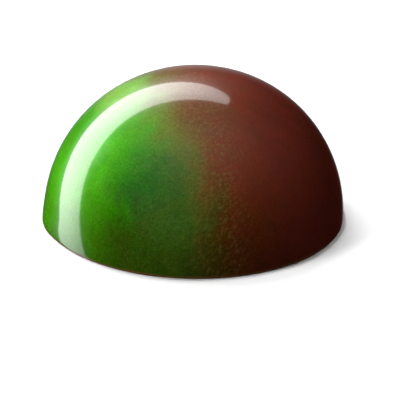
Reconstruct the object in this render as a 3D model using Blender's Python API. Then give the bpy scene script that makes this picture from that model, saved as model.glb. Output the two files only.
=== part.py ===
"""A moulded chocolate praline: one solid half ball that sits on its flat base.

Metres, +Z up. The origin is the centre of the flat base, so the crown is straight
above it. The sprayed green side faces -X, and the bare dark chocolate faces +X.
"""

import math

import bmesh
import bpy

# Driving dimensions of the finished praline.
BASE_DIAMETER = 0.030
HEIGHT = 0.015
# 2 is a true half ball. A little more is the slight fullness that a mould gives it.
PROFILE_FULLNESS = 2.05
# The foot's edge, where the mould's rim meets the scraped base.
FOOT_RADIUS = 0.00025

# The green coat ends on a line that leans across the dome, towards -X at the crown.
SPRAY_EDGE_AT_BASE = 0.0012
SPRAY_EDGE_LEAN = -0.30

# How finely the turned surface is faceted.
STEPS_ROUND = 96
DOME_STEPS = 26
FOOT_STEPS = 3
MERGE_DISTANCE = 0.00001
SHARP_EDGE_ANGLE = math.radians(30)

CHOCOLATE_COLOUR = (0.060, 0.015, 0.007, 1.0)
GREEN_COLOUR = (0.065, 0.260, 0.016, 1.0)
MOULDED_GLOSS = 0.08


def remove_everything():
    """Start from an empty scene."""
    for old_object in list(bpy.data.objects):
        bpy.data.objects.remove(old_object, do_unlink=True)


def make_material(name, colour):
    """A glossy surface in one colour, as a polished mould leaves it."""
    material = bpy.data.materials.new(name)
    material.use_nodes = True
    material.diffuse_color = colour
    shader = material.node_tree.nodes["Principled BSDF"]
    shader.inputs["Base Color"].default_value = colour
    shader.inputs["Roughness"].default_value = MOULDED_GLOSS
    shader.inputs["Metallic"].default_value = 0.0
    return material


def half_outline():
    """Points at +X, from the crown down the outer side and in along the base."""
    base_radius = BASE_DIAMETER / 2
    crown_above_foot = HEIGHT - FOOT_RADIUS
    power = 2 / PROFILE_FULLNESS

    points = [(0.0, HEIGHT)]
    # The dome is a superellipse that stands on the foot's edge, stepped evenly in angle.
    for step in range(1, DOME_STEPS):
        angle = math.pi / 2 * (1 - step / DOME_STEPS)
        across = base_radius * math.cos(angle) ** power
        up = FOOT_RADIUS + crown_above_foot * math.sin(angle) ** power
        points.append((across, up))

    # A quarter round turns the upright side into the flat base.
    for step in range(FOOT_STEPS + 1):
        turn = math.pi / 2 * step / FOOT_STEPS
        across = base_radius - FOOT_RADIUS * (1 - math.cos(turn))
        up = FOOT_RADIUS * (1 - math.sin(turn))
        points.append((across, up))

    points.append((0.0, 0.0))
    return points


def turn_outline(outline):
    """Spin the outline once about the upright axis, as a closed mesh."""
    form = bmesh.new()
    corners = [form.verts.new((across, 0.0, up)) for across, up in outline]
    edges = [form.edges.new(pair) for pair in zip(corners, corners[1:])]
    bmesh.ops.spin(
        form,
        geom=corners + edges,
        cent=(0.0, 0.0, 0.0),
        axis=(0.0, 0.0, 1.0),
        angle=2 * math.pi,
        steps=STEPS_ROUND,
    )
    bmesh.ops.remove_doubles(form, verts=form.verts, dist=MERGE_DISTANCE)
    bmesh.ops.recalc_face_normals(form, faces=form.faces)
    return form


def coat_sprayed_side(form, chocolate_slot, green_slot):
    """The dome's faces on the sprayed side are green. The base stays chocolate."""
    for face in form.faces:
        middle = face.calc_center_median()
        spray_edge = SPRAY_EDGE_AT_BASE + SPRAY_EDGE_LEAN * middle.z
        is_dome = middle.z > FOOT_RADIUS
        is_sprayed = is_dome and middle.x < spray_edge
        face.material_index = green_slot if is_sprayed else chocolate_slot


def make_half_ball(chocolate, green_cocoa_butter):
    """The whole praline: shell, coat and filling are one closed solid."""
    form = turn_outline(half_outline())
    coat_sprayed_side(form, chocolate_slot=0, green_slot=1)
    mesh = bpy.data.meshes.new("half_ball")
    form.to_mesh(mesh)
    form.free()
    mesh.materials.append(chocolate)
    mesh.materials.append(green_cocoa_butter)
    mesh.shade_smooth()
    mesh.set_sharp_from_angle(angle=SHARP_EDGE_ANGLE)

    half_ball = bpy.data.objects.new("half_ball", mesh)
    bpy.context.scene.collection.objects.link(half_ball)
    return half_ball


remove_everything()
make_half_ball(
    chocolate=make_material("dark_chocolate", CHOCOLATE_COLOUR),
    green_cocoa_butter=make_material("green_cocoa_butter", GREEN_COLOUR),
)
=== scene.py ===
# %% [markdown]
# # A half-ball mint praline
# A praline like this starts as a polished half-ball mould. The maker sprays green cocoa
# butter on one side of it, pours in dark chocolate, taps the surplus out, fills the shell
# and scrapes the back flat. Everything that gloss and colour do here comes from that order:
# the green lies inside the surface, and the surface is as smooth as the mould.
#
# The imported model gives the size. It is loaded first, so that each later step can measure
# from it and nothing has to be typed in twice.

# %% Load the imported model
import math

import bmesh
import bpy
from mathutils import Matrix, Vector, noise


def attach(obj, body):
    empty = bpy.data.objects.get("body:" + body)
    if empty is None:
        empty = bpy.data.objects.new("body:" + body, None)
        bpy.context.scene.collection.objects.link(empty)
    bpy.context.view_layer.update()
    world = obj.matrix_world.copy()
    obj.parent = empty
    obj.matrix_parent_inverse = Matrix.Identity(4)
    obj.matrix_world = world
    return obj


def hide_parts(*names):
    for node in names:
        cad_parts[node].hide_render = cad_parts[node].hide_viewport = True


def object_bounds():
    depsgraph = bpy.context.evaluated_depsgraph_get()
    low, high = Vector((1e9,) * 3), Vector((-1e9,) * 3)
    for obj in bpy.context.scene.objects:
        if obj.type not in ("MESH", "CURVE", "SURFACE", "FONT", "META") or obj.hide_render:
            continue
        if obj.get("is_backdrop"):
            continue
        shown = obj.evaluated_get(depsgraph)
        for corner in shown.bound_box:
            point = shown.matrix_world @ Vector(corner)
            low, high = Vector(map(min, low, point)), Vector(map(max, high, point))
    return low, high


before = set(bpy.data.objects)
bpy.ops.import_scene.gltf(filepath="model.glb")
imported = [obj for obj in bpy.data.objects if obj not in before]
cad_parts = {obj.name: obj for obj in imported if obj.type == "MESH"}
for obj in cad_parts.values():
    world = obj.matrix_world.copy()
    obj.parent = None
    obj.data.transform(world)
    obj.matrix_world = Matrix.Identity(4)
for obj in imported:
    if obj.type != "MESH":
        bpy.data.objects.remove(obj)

cad_low, cad_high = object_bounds()
MM = 0.001
base_radius = (cad_high.x - cad_low.x) / 2
crown_height = cad_high.z - cad_low.z
print(f"praline: {2 * base_radius / MM:.1f} mm across, {crown_height / MM:.1f} mm high")

# %% [markdown]
# ## Two helpers
# Colours on a screen or a colour card are given as sRGB values, spaced for the eye. The
# renderer adds light in linear values. One function turns one into the other, so every colour
# below can stay a hex value that any paint program shows.
#
# Materials are small networks of nodes. One function adds a node, sets it and links it,
# and each network then reads from top to bottom like a recipe.


# %% Colours from hex, and one way to add a node
def linear(hex_colour):
    """An sRGB hex colour as linear red, green, blue and alpha."""
    channels = [int(hex_colour[i : i + 2], 16) / 255 for i in (1, 3, 5)]
    return [c / 12.92 if c <= 0.04045 else ((c + 0.055) / 1.055) ** 2.4 for c in channels] + [1.0]


def add_node(tree, kind, values=(), links=(), **settings):
    """Add one node: its own settings, the values of its inputs, and what links into them."""
    node = tree.nodes.new(kind)
    for name, value in settings.items():
        setattr(node, name, value)
    for socket, value in dict(values).items():
        node.inputs[socket].default_value = value
    for socket, source in dict(links).items():
        tree.links.new(source, node.inputs[socket])
    return node


def new_material(name):
    """An empty material and its node tree."""
    material = bpy.data.materials.new(name)
    material.use_nodes = True
    material.node_tree.nodes.clear()
    return material, material.node_tree


MID_GREY = "#808080"
print(f"a mid grey of {MID_GREY} is {linear(MID_GREY)[0]:.2f} in linear light")

# %% [markdown]
# ## The moulded form
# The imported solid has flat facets, and a gloss as clean as this one would show each of them.
# The visible praline is turned again from the same outline with many more steps. The crown,
# the sides and the foot come from three named sizes, so it fills the same box.
#
# A half ball could also be a sphere cut in two, but a mould's cavity is a little fuller than
# a true sphere at its shoulder. A superellipse has one number for that fullness, which is 2
# for a true sphere.

# %% Turn the outline
PROFILE_FULLNESS = 2.03
FOOT_RADIUS = 0.15 * MM
STEPS_ROUND = 320
DOME_STEPS = 120
FOOT_STEPS = 6
BASE_STEPS = 14
WELD_WITHIN = 0.002 * MM


def half_outline():
    """Distance from the axis and height, from the crown down and in along the base."""
    crown_above_foot = crown_height - FOOT_RADIUS
    power = 2 / PROFILE_FULLNESS
    outline = []
    for step in range(DOME_STEPS):
        angle = math.pi / 2 * (1 - step / DOME_STEPS)
        across = base_radius * max(math.cos(angle), 0.0) ** power
        up = FOOT_RADIUS + crown_above_foot * math.sin(angle) ** power
        outline.append((across, up))
    for step in range(FOOT_STEPS + 1):
        turn = math.pi / 2 * step / FOOT_STEPS
        across = base_radius - FOOT_RADIUS * (1 - math.cos(turn))
        up = FOOT_RADIUS * (1 - math.sin(turn))
        outline.append((across, up))
    rim = outline[-1][0]
    for step in range(1, BASE_STEPS + 1):
        outline.append((rim * (1 - step / BASE_STEPS), 0.0))
    return outline


def turned_mesh(name, outline, steps):
    """Spin an outline once round the upright axis."""
    form = bmesh.new()
    corners = [form.verts.new((across, 0.0, up)) for across, up in outline]
    edges = [form.edges.new(pair) for pair in zip(corners, corners[1:])]
    bmesh.ops.spin(
        form,
        geom=corners + edges,
        cent=(0.0, 0.0, 0.0),
        axis=(0.0, 0.0, 1.0),
        angle=2 * math.pi,
        steps=steps,
    )
    bmesh.ops.remove_doubles(form, verts=form.verts, dist=WELD_WITHIN)
    bmesh.ops.recalc_face_normals(form, faces=form.faces)
    mesh = bpy.data.meshes.new(name)
    form.to_mesh(mesh)
    form.free()
    return mesh


praline_mesh = turned_mesh("praline", half_outline(), STEPS_ROUND)
praline = bpy.data.objects.new("praline", praline_mesh)
bpy.context.scene.collection.objects.link(praline)
print(f"turned praline: {len(praline_mesh.polygons)} faces")

# %% [markdown]
# ## The scraped foot
# The mould's rim cuts the shell off where the maker scrapes the surplus away. That cut is
# never quite clean: it runs in and out by a few hundredths of a millimetre, and on the left a
# little chocolate was squeezed out under the rim. Both are moved into the mesh, because they
# are part of the outline and not only of the light on it.
#
# The lip has no edge of its own. It swells out of the side in one even curve, because a
# crease there, however small, would show as a kink in the bright band that runs over it.
#
# A bump in the material would cost less, but a bump never changes an outline.

# %% Make the foot wander
SCRAPE_UNEVENNESS = 0.035 * MM
# The foot wanders in long waves, with shorter ones at half the height on top.
LONG_WAVE_MM = 1.1
SHORT_WAVE_MM = 0.37
# The squeezed lip: the way it points, how far it stands out, its height, and its reach to
# either side.
LIP_TOWARD = Vector((-0.975, -0.22, 0.0))
LIP_DEPTH = 0.21 * MM
LIP_HEIGHT = 2.6 * MM
LIP_DEGREES = 12
# The crown stands a quarter of a millimetre to the right of the foot's middle.
LEAN = 0.016
SHARP_FROM = math.radians(40)


def lip_at(outward, height):
    """How far the squeezed lip stands out at one point of the foot."""
    if height > LIP_HEIGHT or outward.length == 0:
        return 0.0
    off = math.degrees(outward.angle(LIP_TOWARD))
    beside = math.exp(-((off / LIP_DEGREES) ** 2))
    above = 0.5 + 0.5 * math.cos(math.pi * height / LIP_HEIGHT)
    return LIP_DEPTH * beside * above * outward.length / base_radius


for vertex in praline_mesh.vertices:
    outward = Vector((vertex.co.x, vertex.co.y, 0))
    lowness = 1.0 - vertex.co.z / FOOT_RADIUS
    moved = lip_at(outward, vertex.co.z)
    if outward.length > base_radius - 2 * FOOT_RADIUS and lowness > 0:
        place = vertex.co / MM
        wander = noise.noise(place / LONG_WAVE_MM) + 0.5 * noise.noise(place / SHORT_WAVE_MM)
        moved -= SCRAPE_UNEVENNESS * lowness * (0.5 + 0.5 * wander)
    vertex.co += outward.normalized() * moved
    vertex.co.x += LEAN * vertex.co.z
praline_mesh.shade_smooth()
praline_mesh.set_sharp_from_angle(angle=SHARP_FROM)
foot_reach = max(math.hypot(vertex.co.x, vertex.co.y) for vertex in praline_mesh.vertices)
print(f"the foot reaches {foot_reach / MM:.2f} mm from the axis")

# %% [markdown]
# ## Where the sprayed coat lies
# The gun stood to the left and a little in front. Cover is full on that side and thins out
# along one direction across the dome. One number holds this: the place along the spray,
# from 0 on the sprayed side to 1 on the far one.
#
# A spray never lands evenly. It drifts in clouds of a few millimetres, and it arrives as
# mist. Real mist droplets are 0.05 to 0.1 mm across. That is finer than a view of the whole
# praline can show, so the grain here is drawn two to four times coarser. Both kinds of
# noise push that one number to and fro, and every colour step then frays by itself.

# %% The place along the spray
SPRAY_DIRECTION = Vector((0.95, 0.31, 0.0)).normalized()
CLOUD_MM = 2.4
CLOUD_DRIFT = 0.065
MIST_GRAIN_MM = 0.2
MIST_DRIFT = 0.01


def noise_fields(tree, place_mm):
    """Clouds and mist grain, both from 0 to 1."""
    clouds = add_node(
        tree,
        "ShaderNodeTexNoise",
        {"Scale": 1 / CLOUD_MM, "Detail": 3.0, "Roughness": 0.5},
        {"Vector": place_mm},
    )
    grain = add_node(
        tree,
        "ShaderNodeTexNoise",
        {"Scale": 1 / MIST_GRAIN_MM, "Detail": 3.0, "Roughness": 0.7},
        {"Vector": place_mm},
    )
    return clouds.outputs["Fac"], grain.outputs["Fac"]


def place_along_spray(tree, place_mm, clouds, grain):
    """From 0 where the coat is full to 1 on the far side, frayed by clouds and grain."""
    span = SPRAY_DIRECTION * MM / (2 * base_radius)
    even = add_node(tree, "ShaderNodeVectorMath", {1: span}, {0: place_mm}, operation="DOT_PRODUCT")
    drift = add_node(
        tree,
        "ShaderNodeMapRange",
        {"To Min": 0.5 - CLOUD_DRIFT, "To Max": 0.5 + CLOUD_DRIFT},
        {"Value": clouds},
    )
    fray = add_node(
        tree, "ShaderNodeMapRange", {"To Min": -MIST_DRIFT, "To Max": MIST_DRIFT}, {"Value": grain}
    )
    drifted = add_node(tree, "ShaderNodeMath", links={0: even.outputs["Value"], 1: drift.outputs["Result"]})
    frayed = add_node(tree, "ShaderNodeMath", links={0: drifted.outputs[0], 1: fray.outputs["Result"]})
    return frayed.outputs[0]


print(f"clouds move the coat's edge by up to {CLOUD_DRIFT * 2 * base_radius / MM:.1f} mm either way")

# %% [markdown]
# ## The colours of the coat
# Thick coat hides the chocolate and looks bright yellow green. Thin coat lets the dark
# through: first a deep green, then olive, then brown. A colour ramp along the spray holds
# those steps. Mixing green straight into brown would skip the olive and turn grey.

# %% From full cover to bare chocolate
# Each step: its place along the spray, and the colour of the coat there. The colours come
# out of a fitting program and weren't picked by eye.
COAT_COLOURS = [
    (0.075, "#3A7F08"),
    (0.15, "#2C7301"),
    (0.20, "#307A0A"),
    (0.25, "#3A7814"),
    (0.30, "#4D741B"),
    (0.35, "#59671B"),
    (0.40, "#5F5212"),
    (0.45, "#673B0D"),
    (0.50, "#6C2E13"),
    (0.55, "#6B2A13"),
    (0.675, "#64261A"),
]


def set_stops(ramp, stops):
    """Give a colour ramp its stops: a position and a linear colour for each."""
    elements = ramp.color_ramp.elements
    while len(elements) < len(stops):
        elements.new(0.5)
    for element, (position, colour) in zip(elements, stops):
        element.position = position
        element.color = colour


def coat_colour(tree, along):
    """The even colour of the coat for a place along the spray."""
    ramp = add_node(tree, "ShaderNodeValToRGB", links={"Fac": along})
    set_stops(ramp, [(position, linear(hex_colour)) for position, hex_colour in COAT_COLOURS])
    return ramp.outputs["Color"]


print(f"{len(COAT_COLOURS)} colours lead from full cover to bare chocolate")

# %% [markdown]
# ## Where the gun lingered, and painted shade at the foot
# Where the gun lingered the coat is thickest and lightest, and where a pass missed, the dark
# shines through, bluish in the middle of the green. The olive and almost black spots low at
# the front of the foot are painted shade: they darken the foot where little light reaches it.
# A pale patch lies over the crown.
#
# Each is a soft round spot with a colour, a centre and a reach. Later spots lie over earlier
# ones, as later passes of the gun do, and the clouds make every edge ragged. A painted image
# could hold them too, but the spots stay sharp at any size and can be moved by hand.

# %% Spots of thick and thin coat, and of painted shade at the foot
# Each spot: its colour, its centre in millimetres, and how far it reaches. A fitting program
# found them, and their places were then rounded to half a millimetre.
# The three spots centred 1 mm above the table, low at the front, are painted shade.
SPOTS_AND_PAINTED_SHADE = [
    ("#4DAF1C", Vector((-10.0, -3.5, 8.5)), 10.5),
    ("#084F11", Vector((-3.5, -10.0, 7.5)), 6.2),
    ("#101A00", Vector((1.5, -10.0, 1.0)), 10.5),
    ("#368A00", Vector((-11.5, -1.0, 10.0)), 7.4),
    ("#2D5D23", Vector((-5.0, -15.0, 7.5)), 5.2),
    ("#281000", Vector((-4.5, -10.5, 1.0)), 8.0),
    ("#73A63B", Vector((-7.5, 1.5, 13.0)), 5.0),
    ("#304A07", Vector((-5.5, -14.0, 1.0)), 7.0),
    ("#395C19", Vector((-2.0, -14.0, 6.0)), 5.0),
    ("#603517", Vector((1.0, -5.5, 14.0)), 5.0),
]
SPOT_RAGGEDNESS_MM = 2.5


def with_spots_and_painted_shade(tree, colour, place_mm, clouds):
    """Lay each spot over the colour, full at its centre and gone at its reach."""
    ragged = add_node(
        tree,
        "ShaderNodeMapRange",
        {"To Min": -SPOT_RAGGEDNESS_MM, "To Max": SPOT_RAGGEDNESS_MM},
        {"Value": clouds},
    )
    for hex_colour, centre, reach in SPOTS_AND_PAINTED_SHADE:
        off = add_node(tree, "ShaderNodeVectorMath", {1: centre}, {0: place_mm}, operation="DISTANCE")
        edge = add_node(
            tree, "ShaderNodeMath", links={0: off.outputs["Value"], 1: ragged.outputs["Result"]}
        )
        cover = add_node(
            tree,
            "ShaderNodeMapRange",
            {"From Min": reach, "From Max": 0.0},
            {"Value": edge.outputs[0]},
            interpolation_type="SMOOTHSTEP",
        )
        laid = add_node(
            tree,
            "ShaderNodeMixRGB",
            {"Color2": linear(hex_colour)},
            {"Fac": cover.outputs["Result"], "Color1": colour},
        )
        colour = laid.outputs["Color"]
    return colour


widest = max(reach for _, _, reach in SPOTS_AND_PAINTED_SHADE)
print(f"{len(SPOTS_AND_PAINTED_SHADE)} spots, reaching up to {widest} mm")

# %% [markdown]
# ## Uneven colour
# Close up, no part of the coat is one flat colour. Cocoa butter colours settle into bluer
# and yellower patches a millimetre or two across. Noise has three colour channels that vary
# each by itself, so multiplying by one noise moves the hue as well as the brightness.
#
# On top of that lies the grain of the mist. A grain scatters a little white light, so it
# looks paler and not only brighter. A gamma does exactly that: it lifts the weak channels
# of a colour more than the strong ones. The grain is liveliest where the coat thins out,
# and fades on the cast chocolate, which is almost even.

# %% Patches and grain
PATCH_MM = 1.7
# How far the red, green and blue of a patch swing from even, from one end to the other.
PATCH_SWING = Vector((0.7, 0.5, 1.6))
GRAIN_GAMMA = 0.36
# How lively the grain is along the spray.
GRAIN_ALONG = [(0.0, 1.0), (0.25, 0.9), (0.42, 0.9), (0.54, 0.5), (0.66, 0.3), (1.0, 0.3)]


def with_patches(tree, colour, place_mm):
    """The colour with its hue and brightness swung by broad noise."""
    patches = add_node(
        tree,
        "ShaderNodeTexNoise",
        {"Scale": 1 / PATCH_MM, "Detail": 5.0, "Roughness": 0.7},
        {"Vector": place_mm},
    )
    swing = add_node(
        tree,
        "ShaderNodeVectorMath",
        {1: PATCH_SWING, 2: Vector((1, 1, 1)) - PATCH_SWING / 2},
        {0: patches.outputs["Color"]},
        operation="MULTIPLY_ADD",
    )
    swung = add_node(
        tree, "ShaderNodeVectorMath", links={0: colour, 1: swing.outputs[0]}, operation="MULTIPLY"
    )
    return swung.outputs[0]


def with_grain(tree, colour, along, grain):
    """The colour made paler and darker by the mist grain."""
    liveliness = add_node(tree, "ShaderNodeValToRGB", links={"Fac": along})
    set_stops(liveliness, [(position, (value, value, value, 1)) for position, value in GRAIN_ALONG])
    swing = add_node(
        tree, "ShaderNodeMapRange", {"To Min": GRAIN_GAMMA, "To Max": -GRAIN_GAMMA}, {"Value": grain}
    )
    gamma = add_node(
        tree,
        "ShaderNodeMath",
        {2: 1.0},
        {0: swing.outputs["Result"], 1: liveliness.outputs["Color"]},
        operation="MULTIPLY_ADD",
    )
    grained = add_node(tree, "ShaderNodeGamma", links={"Color": colour, "Gamma": gamma.outputs[0]})
    return grained.outputs["Color"]


print(f"the grain moves the gamma between {1 - GRAIN_GAMMA:.2f} and {1 + GRAIN_GAMMA:.2f}")

# %% [markdown]
# ## Specks
# Where the mist clumped it left mottles of light olive, mostly along the fringe of the coat.
# A few larger droplets flew past the fringe and show as pale specks. Both are the peaks of a
# fine noise: a low threshold gives many mottles, a high one leaves only rare specks. Points
# set out by a cell pattern would look more regular than a spray does.
#
# A droplet lands at a slant, so it leaves a short stroke and not a dot. The noise is drawn
# out along one leaning direction before the peaks are taken.

# %% Mottles and stray droplets
# Each kind: size in mm, noise level where it starts, colour, and cover along the spray.
SPECKS = [
    (0.30, 0.48, "#80783E", [(0.0, 0.04), (0.3, 0.05), (0.4, 0.22), (0.48, 0.24), (0.56, 0.0)]),
    (0.20, 0.60, "#A8B272", [(0.0, 0.35), (0.3, 0.15), (0.42, 0.3), (0.5, 0.22), (0.58, 0.05)]),
]
SPECK_EDGE = 0.16
# How far the strokes lean to the right, and how much longer than wide they are.
STROKE_LEAN = math.radians(32)
STROKE_LENGTHS = 2.6


def with_specks(tree, colour, along, place_mm):
    """Lay the mottles and then the stray droplets over the colour."""
    drawn_out = add_node(
        tree,
        "ShaderNodeMapping",
        {"Rotation": (0, STROKE_LEAN, 0), "Scale": (1, 1, STROKE_LENGTHS)},
        {"Vector": place_mm},
        vector_type="TEXTURE",
    )
    for size_mm, level, hex_colour, cover_along in SPECKS:
        field = add_node(
            tree,
            "ShaderNodeTexNoise",
            {"Scale": 1 / size_mm, "Detail": 3.0, "Roughness": 0.7, "W": size_mm},
            {"Vector": drawn_out.outputs["Vector"]},
            noise_dimensions="4D",
        )
        peak = add_node(
            tree,
            "ShaderNodeMapRange",
            {"From Min": level, "From Max": level + SPECK_EDGE},
            {"Value": field.outputs["Fac"]},
            interpolation_type="SMOOTHSTEP",
        )
        cover = add_node(tree, "ShaderNodeValToRGB", links={"Fac": along})
        set_stops(cover, [(position, (value, value, value, 1)) for position, value in cover_along])
        share = add_node(
            tree,
            "ShaderNodeMath",
            links={0: peak.outputs["Result"], 1: cover.outputs["Color"]},
            operation="MULTIPLY",
        )
        laid = add_node(
            tree,
            "ShaderNodeMixRGB",
            {"Color2": linear(hex_colour)},
            {"Fac": share.outputs[0], "Color1": colour},
        )
        colour = laid.outputs["Color"]
    return colour


for size_mm, _, hex_colour, _ in SPECKS:
    print(f"specks of {hex_colour}: {size_mm} mm wide, {size_mm * STROKE_LENGTHS:.1f} mm long")

# %% [markdown]
# ## The bare foot, with painted bounce light
# The mould's rim keeps the spray off the very foot, and the scraper drags a little
# chocolate round it. What shows is an uneven hair line of brown, two or three tenths of a
# millimetre high. Its tan is paler than the bare chocolate: painted bounce light from the white
# table. The grain moves its upper edge up and down.

# %% The brown line at the foot, lightened by painted bounce light
# Painted bounce light: the line's tan is paler than the chocolate, for the table's light.
FOOT_LINE_AND_BOUNCE_COLOUR = "#74502C"
FOOT_LINE_MM = 0.24
FOOT_LINE_SOFTNESS_MM = 0.1
FOOT_LINE_WANDER_MM = 0.3


def with_bare_foot_and_painted_bounce(tree, colour, place_mm, clouds, grain):
    """Chocolate below the line where the mould's rim held the coat off, in a tan of painted bounce light.
    """
    axes = add_node(tree, "ShaderNodeSeparateXYZ", links={"Vector": place_mm})
    both = add_node(tree, "ShaderNodeMath", links={0: clouds, 1: grain})
    wander = add_node(
        tree,
        "ShaderNodeMapRange",
        {"From Max": 2.0, "To Min": -FOOT_LINE_WANDER_MM, "To Max": FOOT_LINE_WANDER_MM},
        {"Value": both.outputs[0]},
    )
    level = add_node(tree, "ShaderNodeMath", links={0: axes.outputs["Z"], 1: wander.outputs["Result"]})
    bare = add_node(
        tree,
        "ShaderNodeMapRange",
        {
            "From Min": FOOT_LINE_MM + FOOT_LINE_SOFTNESS_MM,
            "From Max": FOOT_LINE_MM - FOOT_LINE_SOFTNESS_MM,
        },
        {"Value": level.outputs[0]},
        interpolation_type="SMOOTHSTEP",
    )
    laid = add_node(
        tree,
        "ShaderNodeMixRGB",
        {"Color2": linear(FOOT_LINE_AND_BOUNCE_COLOUR)},
        {"Fac": bare.outputs["Result"], "Color1": colour},
    )
    return laid.outputs["Color"]


print(f"the brown line at the foot is about {FOOT_LINE_MM} mm high")

# %% [markdown]
# ## The shell: tempered dark chocolate, moulded
# Tempered chocolate sets as a fine, hard mixture of sugar, cocoa and cocoa butter. It takes
# the finish of what it sets against, and here that was polished polycarbonate. To the eye it
# is a clean varnish: sharp reflections over a soft deep colour.
#
# Cocoa butter bends light by 1.46, so about 3.5 percent of the light is mirrored head on
# and much more at a flat angle. The mould is smooth, so roughness is low. Grains of sugar
# under the skin make it vary a little, and leave an orange peel of a few thousandths of a
# millimetre.

# %% The shell's material
COCOA_BUTTER_IOR = 1.46
GLOSS_LOW, GLOSS_HIGH = 0.055, 0.095
PEEL_DEPTH = 0.0015 * MM


def tempered_shell():
    """Glossy chocolate with sprayed green cocoa butter under the surface."""
    material, tree = new_material("tempered_chocolate_sprayed_green")
    place = add_node(tree, "ShaderNodeTexCoord").outputs["Object"]
    in_mm = add_node(tree, "ShaderNodeVectorMath", {"Scale": 1 / MM}, {0: place}, operation="SCALE")
    place_mm = in_mm.outputs[0]
    clouds, grain = noise_fields(tree, place_mm)
    along = place_along_spray(tree, place_mm, clouds, grain)
    colour = coat_colour(tree, along)
    colour = with_spots_and_painted_shade(tree, colour, place_mm, clouds)
    colour = with_patches(tree, colour, place_mm)
    colour = with_grain(tree, colour, along, grain)
    colour = with_specks(tree, colour, along, place_mm)
    colour = with_bare_foot_and_painted_bounce(tree, colour, place_mm, clouds, grain)
    gloss = add_node(
        tree, "ShaderNodeMapRange", {"To Min": GLOSS_LOW, "To Max": GLOSS_HIGH}, {"Value": grain}
    )
    peel = add_node(tree, "ShaderNodeBump", {"Strength": 1.0, "Distance": PEEL_DEPTH}, {"Height": clouds})
    shader = add_node(
        tree,
        "ShaderNodeBsdfPrincipled",
        {"IOR": COCOA_BUTTER_IOR},
        {"Base Color": colour, "Roughness": gloss.outputs["Result"], "Normal": peel.outputs["Normal"]},
    )
    add_node(tree, "ShaderNodeOutputMaterial", links={"Surface": shader.outputs["BSDF"]})
    return material


mirrored_head_on = ((COCOA_BUTTER_IOR - 1) / (COCOA_BUTTER_IOR + 1)) ** 2
print(f"the shell mirrors {mirrored_head_on:.1%} of the light head on")

# %% [markdown]
# ## The base: chocolate scraped with a palette knife
# The back of the mould is closed with chocolate and scraped level in one pull. It sets
# against air and not against the mould, so it is matt, a little paler, and has fine
# straight marks along the pull. The marks are stretched noise: long one way, fine across.

# %% The base's material
SCRAPED_CHOCOLATE = "#55301C"
SCRAPED_DARK = "#40200F"
SCRAPE_MARK_MM = 0.35
SCRAPE_LENGTHS = 14
SCRAPE_DEPTH = 0.02 * MM
DULL_LOW, DULL_HIGH = 0.38, 0.62
# The marks are darkest below the first level of the noise and palest above the second.
MARKS_DARK, MARKS_PALE = 0.3, 0.7


def scraped_base():
    """Matt chocolate with fine straight marks."""
    material, tree = new_material("scraped_dark_chocolate")
    place = add_node(tree, "ShaderNodeTexCoord").outputs["Object"]
    stretched = add_node(
        tree,
        "ShaderNodeVectorMath",
        {1: (1 / SCRAPE_LENGTHS / MM, 1 / MM, 1 / MM)},
        {0: place},
        operation="MULTIPLY",
    )
    marks = add_node(
        tree,
        "ShaderNodeTexNoise",
        {"Scale": 1 / SCRAPE_MARK_MM, "Detail": 3.0, "Roughness": 0.6},
        {"Vector": stretched.outputs[0]},
    ).outputs["Fac"]
    ramp = add_node(tree, "ShaderNodeValToRGB", links={"Fac": marks})
    set_stops(ramp, [(MARKS_DARK, linear(SCRAPED_DARK)), (MARKS_PALE, linear(SCRAPED_CHOCOLATE))])
    dullness = add_node(
        tree, "ShaderNodeMapRange", {"To Min": DULL_LOW, "To Max": DULL_HIGH}, {"Value": marks}
    )
    ridges = add_node(
        tree, "ShaderNodeBump", {"Strength": 1.0, "Distance": SCRAPE_DEPTH}, {"Height": marks}
    )
    shader = add_node(
        tree,
        "ShaderNodeBsdfPrincipled",
        {"IOR": COCOA_BUTTER_IOR},
        {
            "Base Color": ramp.outputs["Color"],
            "Roughness": dullness.outputs["Result"],
            "Normal": ridges.outputs["Normal"],
        },
    )
    add_node(tree, "ShaderNodeOutputMaterial", links={"Surface": shader.outputs["BSDF"]})
    return material


print(f"scrape marks are {SCRAPE_MARK_MM} mm wide and {SCRAPE_MARK_MM * SCRAPE_LENGTHS:.0f} mm long")

# %% [markdown]
# ## Two finishes on one piece
# Shell and base are one piece of chocolate, so they stay one mesh. Each face only says which
# of the two materials it wears. The flat of the base is found by its height, because nothing
# else lies that low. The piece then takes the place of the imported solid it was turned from.

# %% Dress the praline and let it stand for its solid
BASE_BELOW = 0.2 * FOOT_RADIUS
SHELL, BASE = 0, 1

praline_mesh.materials.append(tempered_shell())
praline_mesh.materials.append(scraped_base())
for face in praline_mesh.polygons:
    face.material_index = BASE if face.center.z < BASE_BELOW else SHELL
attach(praline, "root")
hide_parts("half_ball")
base_faces = sum(face.material_index == BASE for face in praline_mesh.polygons)
print(f"{base_faces} faces of scraped base, {len(praline_mesh.polygons) - base_faces} of shell")

# %% [markdown]
# ## The camera
# A long lens from a little above is how sweets are shown in a shop: the outline stays true
# and the sheen on the shoulder is seen. The camera leans by less than a degree, so that the
# right side of the foot sits lower. Its turn is built from its own three directions.

# %% Place the camera
VIEW_ELEVATION = math.radians(24.5)
CAMERA_DISTANCE = 375 * MM
LENS_MM = 336.9
# How far right of the praline's foot and above it the camera aims.
AIM_RIGHT = 0.667 * MM
AIM_UP = 1.493 * MM
CAMERA_ROLL = math.radians(0.69)
SENSOR_MM = 36
NEAREST, FARTHEST = 0.01, 20

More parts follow.
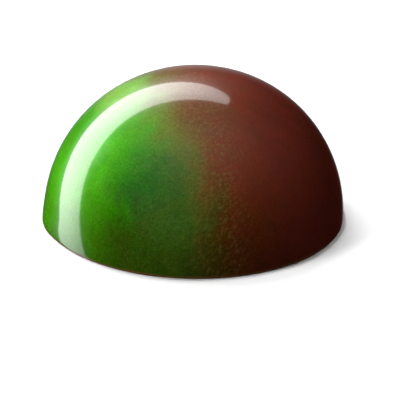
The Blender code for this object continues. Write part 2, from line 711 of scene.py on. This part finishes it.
toward_camera = Vector((0, -math.cos(VIEW_ELEVATION), math.sin(VIEW_ELEVATION)))
across_view = Vector((1, 0, 0))
up_view = toward_camera.cross(across_view)
camera_data = bpy.data.cameras.new("camera")
camera_data.lens = LENS_MM
camera_data.sensor_width = SENSOR_MM
camera_data.clip_start = NEAREST
camera_data.clip_end = FARTHEST
camera = bpy.data.objects.new("camera", camera_data)
bpy.context.scene.collection.objects.link(camera)
bpy.context.scene.camera = camera
camera.location = toward_camera * CAMERA_DISTANCE
roll = Matrix.Rotation(CAMERA_ROLL, 3, toward_camera)
aim = roll @ (across_view * AIM_RIGHT + up_view * AIM_UP)
look = (aim - camera.location).normalized()
side = (roll @ across_view - look * (roll @ across_view).dot(look)).normalized()
camera.rotation_euler = Matrix((side, side.cross(look), -look)).transposed().to_euler()
view_width = CAMERA_DISTANCE * SENSOR_MM / LENS_MM
print(f"at the praline the view is {view_width / MM:.0f} mm wide")

# %% [markdown]
# ## The table
# The table is white paper, a good deal larger than the view. Mirrored in the lower half of
# the dome it would show as a pale band. A studio holds such a band back with a dark card, and
# here the paper is left out of the reflections. It throws no light back either, so the lamps
# alone decide how dark the foot gets.

# %% The table
FLOOR_SIZE = 3.0
PAPER_WHITE = "#F0F0F0"
PAPER_ROUGHNESS = 0.9

form = bmesh.new()
bmesh.ops.create_grid(form, x_segments=1, y_segments=1, size=FLOOR_SIZE / 2)
floor_mesh = bpy.data.meshes.new("table_top")
form.to_mesh(floor_mesh)
form.free()
floor = bpy.data.objects.new("table_top", floor_mesh)
bpy.context.scene.collection.objects.link(floor)
paper, tree = new_material("white_paper")
shader = add_node(
    tree, "ShaderNodeBsdfPrincipled", {"Roughness": PAPER_ROUGHNESS, "Base Color": linear(PAPER_WHITE)}
)
add_node(tree, "ShaderNodeOutputMaterial", links={"Surface": shader.outputs["BSDF"]})
floor_mesh.materials.append(paper)
floor.visible_glossy = False
floor.visible_diffuse = False
floor.visible_shadow = False
floor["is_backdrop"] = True
print(f"white paper, {FLOOR_SIZE:.0f} m wide")

# %% [markdown]
# ## The white behind the table
# The world is plain white for the camera alone, so the paper has no visible edge. It is kept
# out of the light and the reflections: white from every side would wash the gloss out. The
# view is the plain one, without a film curve, so white stays white and the greens stay pure.

# %% The world
world = bpy.data.worlds.new("studio")
world.use_nodes = True
bpy.context.scene.world = world
background = world.node_tree.nodes["Background"]
background.inputs["Color"].default_value = linear("#FFFFFF")
background.inputs["Strength"].default_value = 1.0
world.cycles_visibility.diffuse = False
world.cycles_visibility.glossy = False
bpy.context.scene.view_settings.view_transform = "Standard"
print(f"world: {world.name}, seen by the camera alone")

# %% [markdown]
# ## Sheets of lit cloth
# A gloss is seen by what it mirrors, so the studio round the praline is built from sheets of
# cloth that glow. Each corner of a sheet has its own glow, kept in an attribute, and the
# renderer blends between them. The sheets are for reflections only: the camera doesn't see
# them, and they neither light the colours nor cast shadows.


# %% A sheet of lit cloth
def glowing_material(name, strength):
    """Cloth lit from behind, as bright as the attribute named glow says."""
    material, tree = new_material(name)
    glow = add_node(tree, "ShaderNodeAttribute", attribute_name="glow")
    cloth = add_node(tree, "ShaderNodeEmission", {"Strength": strength}, {"Color": glow.outputs["Color"]})
    add_node(tree, "ShaderNodeOutputMaterial", links={"Surface": cloth.outputs["Emission"]})
    return material


def glowing_sheet(name, rows, strength=1.0):
    """A sheet through rows of corners. Each corner is a point and its red, green and blue glow."""
    width = len(rows[0])
    corners = [corner for row in rows for corner in row]
    faces = []
    for i in range(len(rows) - 1):
        for j in range(width - 1):
            first = i * width + j
            faces.append((first, first + 1, first + width + 1, first + width))
    mesh = bpy.data.meshes.new(name)
    mesh.from_pydata([point for point, _ in corners], [], faces)
    brightness = mesh.attributes.new("glow", "FLOAT_COLOR", "POINT")
    for entry, (_, glow) in zip(brightness.data, corners):
        entry.color = (*glow, 1)
    mesh.materials.append(glowing_material(name + "_cloth", strength))
    sheet = bpy.data.objects.new(name, mesh)
    bpy.context.scene.collection.objects.link(sheet)
    sheet.visible_camera = False
    sheet.visible_diffuse = False
    sheet.visible_shadow = False
    sheet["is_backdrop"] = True
    print(f"{name}: {len(faces)} faces of cloth")


# %% [markdown]
# ## The studio round it
# The white studio is lit dimly, and the gloss picks that up as a soft veil over the crown,
# beside the strip light and along the far outline. A dome of cloth with a few soft glows
# stands for it. It reaches below the horizon behind the praline, because a steep side
# mirrors what lies low behind it: the last and narrowest glow is the white table there, and
# only the very outline picks it up.

# %% The dome
DOME_SIZE = 2.5
DOME_REACH = 130
DOME_RINGS, DOME_SPOKES = 52, 96
# Each glow: azimuth, elevation and width in degrees, and strength. All but the last come out
# of a fitting program, and some were then changed.
DOME_GLOWS = [
    (184, -4, 12, 0.34),
    (248, 26, 9, 1.1),
    (330, 84, 37, 0.76),
    (202, 37, 20, 1.76),
    (180, -24, 9, 0.7),
]


def direction(azimuth, elevation):
    """A direction from the praline. Azimuth 0 is the camera's side, and 90 is the right."""
    around, up = math.radians(azimuth), math.radians(elevation)
    return Vector((math.sin(around) * math.cos(up), -math.cos(around) * math.cos(up), math.sin(up)))


def studio_glow(way):
    """How brightly the studio glows in a direction."""
    glow = 0
    for azimuth, elevation, width, strength in DOME_GLOWS:
        off = math.degrees(way.angle(direction(azimuth, elevation)))
        glow += strength * math.exp(-((off / width) ** 2))
    return glow


dome_rows = []
for ring in range(DOME_RINGS + 1):
    row = []
    for spoke in range(DOME_SPOKES + 1):
        way = direction(360 * spoke / DOME_SPOKES, 90 - DOME_REACH * ring / DOME_RINGS)
        glow = studio_glow(way)
        row.append((way * DOME_SIZE, (glow, glow, glow)))
    dome_rows.append(row)
glowing_sheet("studio_dome", dome_rows)

# %% [markdown]
# ## The curved strip light
# On a ball the mirrored direction runs out from the camera's own twice as fast as the
# surface turns away. So a light at about 100 to 128 degrees from the camera's direction,
# behind the praline, shows as a band near the outline, and the angles of its edges set the
# edges of the band.
#
# All angles here are in degrees. The turn runs like a clock hand going backwards, from 0 at
# the right over 90 at the top to 180 at the left. The inner edge bows a little, as a bent
# sheet does. The outer edge draws in towards both ends, and the first end is rounded. Each
# small change of an edge has its size and the two turns that it happens between.

# %% The strip's edges
STRIP_START, STRIP_END = 74.5, 222
STRIP_INNER, STRIP_OUTER = 98.9, 129.2
STRIP_BOW, STRIP_BOW_TURN, STRIP_BOW_LENGTH = 1.9, 114, 120
STRIP_TAPER, STRIP_TAPER_LENGTH = 23, 15
END_ROUNDING, END_ROUNDING_TURN = 4.0, 1.6
INNER_RISE, INNER_RISE_TURNS = 0.5, (178, 200)
OUTER_DROPS = ((5.2, (136, 186)), (2.0, (184, 205)))


def smooth(low, high, value):
    """0 below low, 1 above high, and a smooth S between them."""
    t = min(max((value - low) / (high - low), 0.0), 1.0)
    return t * t * (3 - 2 * t)


def strip_edges(turn):
    """The inner and outer edge of the strip at a turn, out from the camera's direction."""
    bow = STRIP_BOW * math.cos(2 * math.pi * (turn - STRIP_BOW_TURN) / STRIP_BOW_LENGTH)
    inner = STRIP_INNER + bow + INNER_RISE * smooth(*INNER_RISE_TURNS, turn)
    outer = STRIP_OUTER - STRIP_TAPER * math.exp(-(turn - STRIP_START) / STRIP_TAPER_LENGTH)
    for drop, turns in OUTER_DROPS:
        outer -= drop * smooth(*turns, turn)
    left = max(0.0, 1 - (turn - STRIP_START) / END_ROUNDING_TURN)
    drawn_in = END_ROUNDING * (1 - math.sqrt(1 - left * left))
    return inner + drawn_in, outer - drawn_in


for turn in (90, 135, 180):
    inner, outer = strip_edges(turn)
    print(f"at a turn of {turn} the strip lies {inner:.0f} to {outer:.0f} degrees out")

# %% [markdown]
# ### The strip's brightness
# The cloth is lit from one side of its middle, so it is dimmer towards its two ends and along
# its outer edge. Light spills past both edges and gives the band a faint halo. Beyond that
# spill the studio shows through.
#
# Over the brightest green the strip is a touch pinker. A camera lets strong light fade
# towards white, and this renderer's plain view would keep it green.

# %% Glow across the strip and along it
STRIP_STRENGTH = 9.5
# Across: brightest near the inner edge, with that edge itself a little dimmer.
INNER_GLOW, OUTER_GLOW = 1.16, 0.80
EDGE_DIMMING, EDGE_DIMMING_SHARE = 0.24, 0.5
# Along: rising steadily between the first two turns, fading between the last two.
RISING_TURNS = (42, 130)
FADING_TURNS = (158, 228)
STRIP_PINK = 0.12
PINK_COMES, PINK_GOES = (94, 116), (150, 180)
HALO_GLOW = 0.13
INNER_HALO_FADE, OUTER_HALO_FADE = 2.8, 3.7
# How far each row of corners of the halo lies beyond an edge.
HALO_GAPS = (0.3, 1.5, 3.0, 5.0, 8.0, 12.0)
STEPS_ACROSS = 14


def strip_profile(inner, outer):
    """Angles out across the strip and its halo, and the strip's own glow at each."""
    near = [(inner - gap, HALO_GLOW * math.exp(-gap / INNER_HALO_FADE)) for gap in reversed(HALO_GAPS)]
    far = [(outer + gap, HALO_GLOW * math.exp(-gap / OUTER_HALO_FADE)) for gap in HALO_GAPS]
    middle = []
    for step in range(STEPS_ACROSS + 1):
        share = step / STEPS_ACROSS
        even = INNER_GLOW + (OUTER_GLOW - INNER_GLOW) * share
        dimmed = 1 - EDGE_DIMMING * (1 - smooth(0, EDGE_DIMMING_SHARE, share))
        middle.append((inner + (outer - inner) * share, even * dimmed))
    return near + middle + far


def strip_light(turn):
    """How brightly the strip is lit at a turn, and how much green it lacks there."""
    first, last = RISING_TURNS
    rising = min(1.0, (turn - first) / (last - first))
    lit = rising * (1 - smooth(*FADING_TURNS, turn))
    pink = STRIP_PINK * smooth(*PINK_COMES, turn) * (1 - smooth(*PINK_GOES, turn))
    return lit, pink


for turn in (90, 135, 180):
    print(f"at a turn of {turn} the strip is lit to {strip_light(turn)[0]:.0%}")

# %% [markdown]
# ### The strip as a sheet
# The sheet is laid out row by row along the turn. Rows lie closer together near the first
# end, where the edges curve most. Every corner also carries the studio's own glow, because
# the sheet hangs in front of the dome and would hide it.

# %% Build the strip
STRIP_DISTANCE = 1.2
STEPS_ALONG = 150
# Above 1, rows crowd towards the strip's first end.
ROW_CROWDING = 1.3


def around_view(out, turn):
    """The direction at an angle out from the camera's own, turned round it."""
    out, turn = math.radians(out), math.radians(turn)
    ring = across_view * math.cos(turn) + up_view * math.sin(turn)
    return toward_camera * math.cos(out) + ring * math.sin(out)


strip_rows = []
for step in range(STEPS_ALONG + 1):
    turn = STRIP_START + (STRIP_END - STRIP_START) * (step / STEPS_ALONG) ** ROW_CROWDING
    lit, pink = strip_light(turn)
    row = []
    for out, glow in strip_profile(*strip_edges(turn)):
        way = around_view(out, turn)
        behind = studio_glow(way) / STRIP_STRENGTH
        own = lit * glow
        row.append((way * STRIP_DISTANCE, (own + behind, own * (1 - pink) + behind, own + behind)))
    strip_rows.append(row)
glowing_sheet("strip_light", strip_rows, STRIP_STRENGTH)

# %% [markdown]
# ## The lamps
# The cloths only make reflections. Soft sun lamps bring the light that the colour itself
# needs. Most of it comes from the left, high and a little behind, which lets the right side
# fall into a deep brown. Weak low lamps keep the foot and the far outline from going black.
#
# Light linking gives the praline and the table each their own set, as a studio flags its
# lamps off. So the table keeps a short, tight shadow whatever the praline needs.


# %% Lamps for the praline and lamps for the table
def lit_set(name, lit):
    """A collection of the one thing that a set of lamps lights."""
    collection = bpy.data.collections.new(name)
    collection.objects.link(lit)
    return collection


def sun(name, azimuth, elevation, strength, spread, lit):
    """A soft lamp far away that lights one set and makes no reflection."""
    data = bpy.data.lights.new(name, "SUN")
    data.energy = strength
    data.angle = math.radians(spread)
    lamp = bpy.data.objects.new(name, data)
    bpy.context.scene.collection.objects.link(lamp)
    toward = direction(azimuth, elevation)
    lamp.rotation_mode = "QUATERNION"
    lamp.rotation_quaternion = toward.to_track_quat("Z", "Y")
    lamp.visible_glossy = False
    lamp.light_linking.receiver_collection = lit
    print(f"{name}: azimuth {azimuth}, elevation {elevation}, strength {strength}")


# Each lamp: its azimuth and elevation in degrees, its strength, and its spread in degrees.
# A fitting program found most of these numbers too.
lit_praline = lit_set("lit_praline", praline)
sun("left_low", 270, -9, 1.1, 12, lit_praline)
sun("back_left", 224, 32, 3.3, 12, lit_praline)
sun("left_high", 269, 53, 1.24, 12, lit_praline)
sun("front_left_high", 303, 56, 2.08, 20, lit_praline)
sun("front_low", 25, -15, 0.46, 20, lit_praline)
sun("right_high", 105, 63, 0.52, 20, lit_praline)
sun("behind_low", 159, -14, 3.23, 12, lit_praline)

lit_table = lit_set("lit_table", floor)
sun("table_left_back_high", 215, 76, 1.23, 5, lit_table)
sun("table_left_back", 214, 53, 2.29, 30, lit_table)
sun("table_right_back", 132, 68, 0.79, 19, lit_table)
sun("table_left", 295, 34, 2.23, 20, lit_table)

# %% [markdown]
# ## The praline's box
# A visible model that has outgrown its solid would no longer stand for it. So the box round
# the praline is printed, to set beside the imported solid's size printed at the start. The lip
# at the foot stands out by about two tenths of a millimetre.

# %% Print the praline's box and finish
new_low, new_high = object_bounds()
for axis, low, high in zip("xyz", new_low, new_high):
    print(f"{axis}: {low / MM:.2f} to {high / MM:.2f} mm")
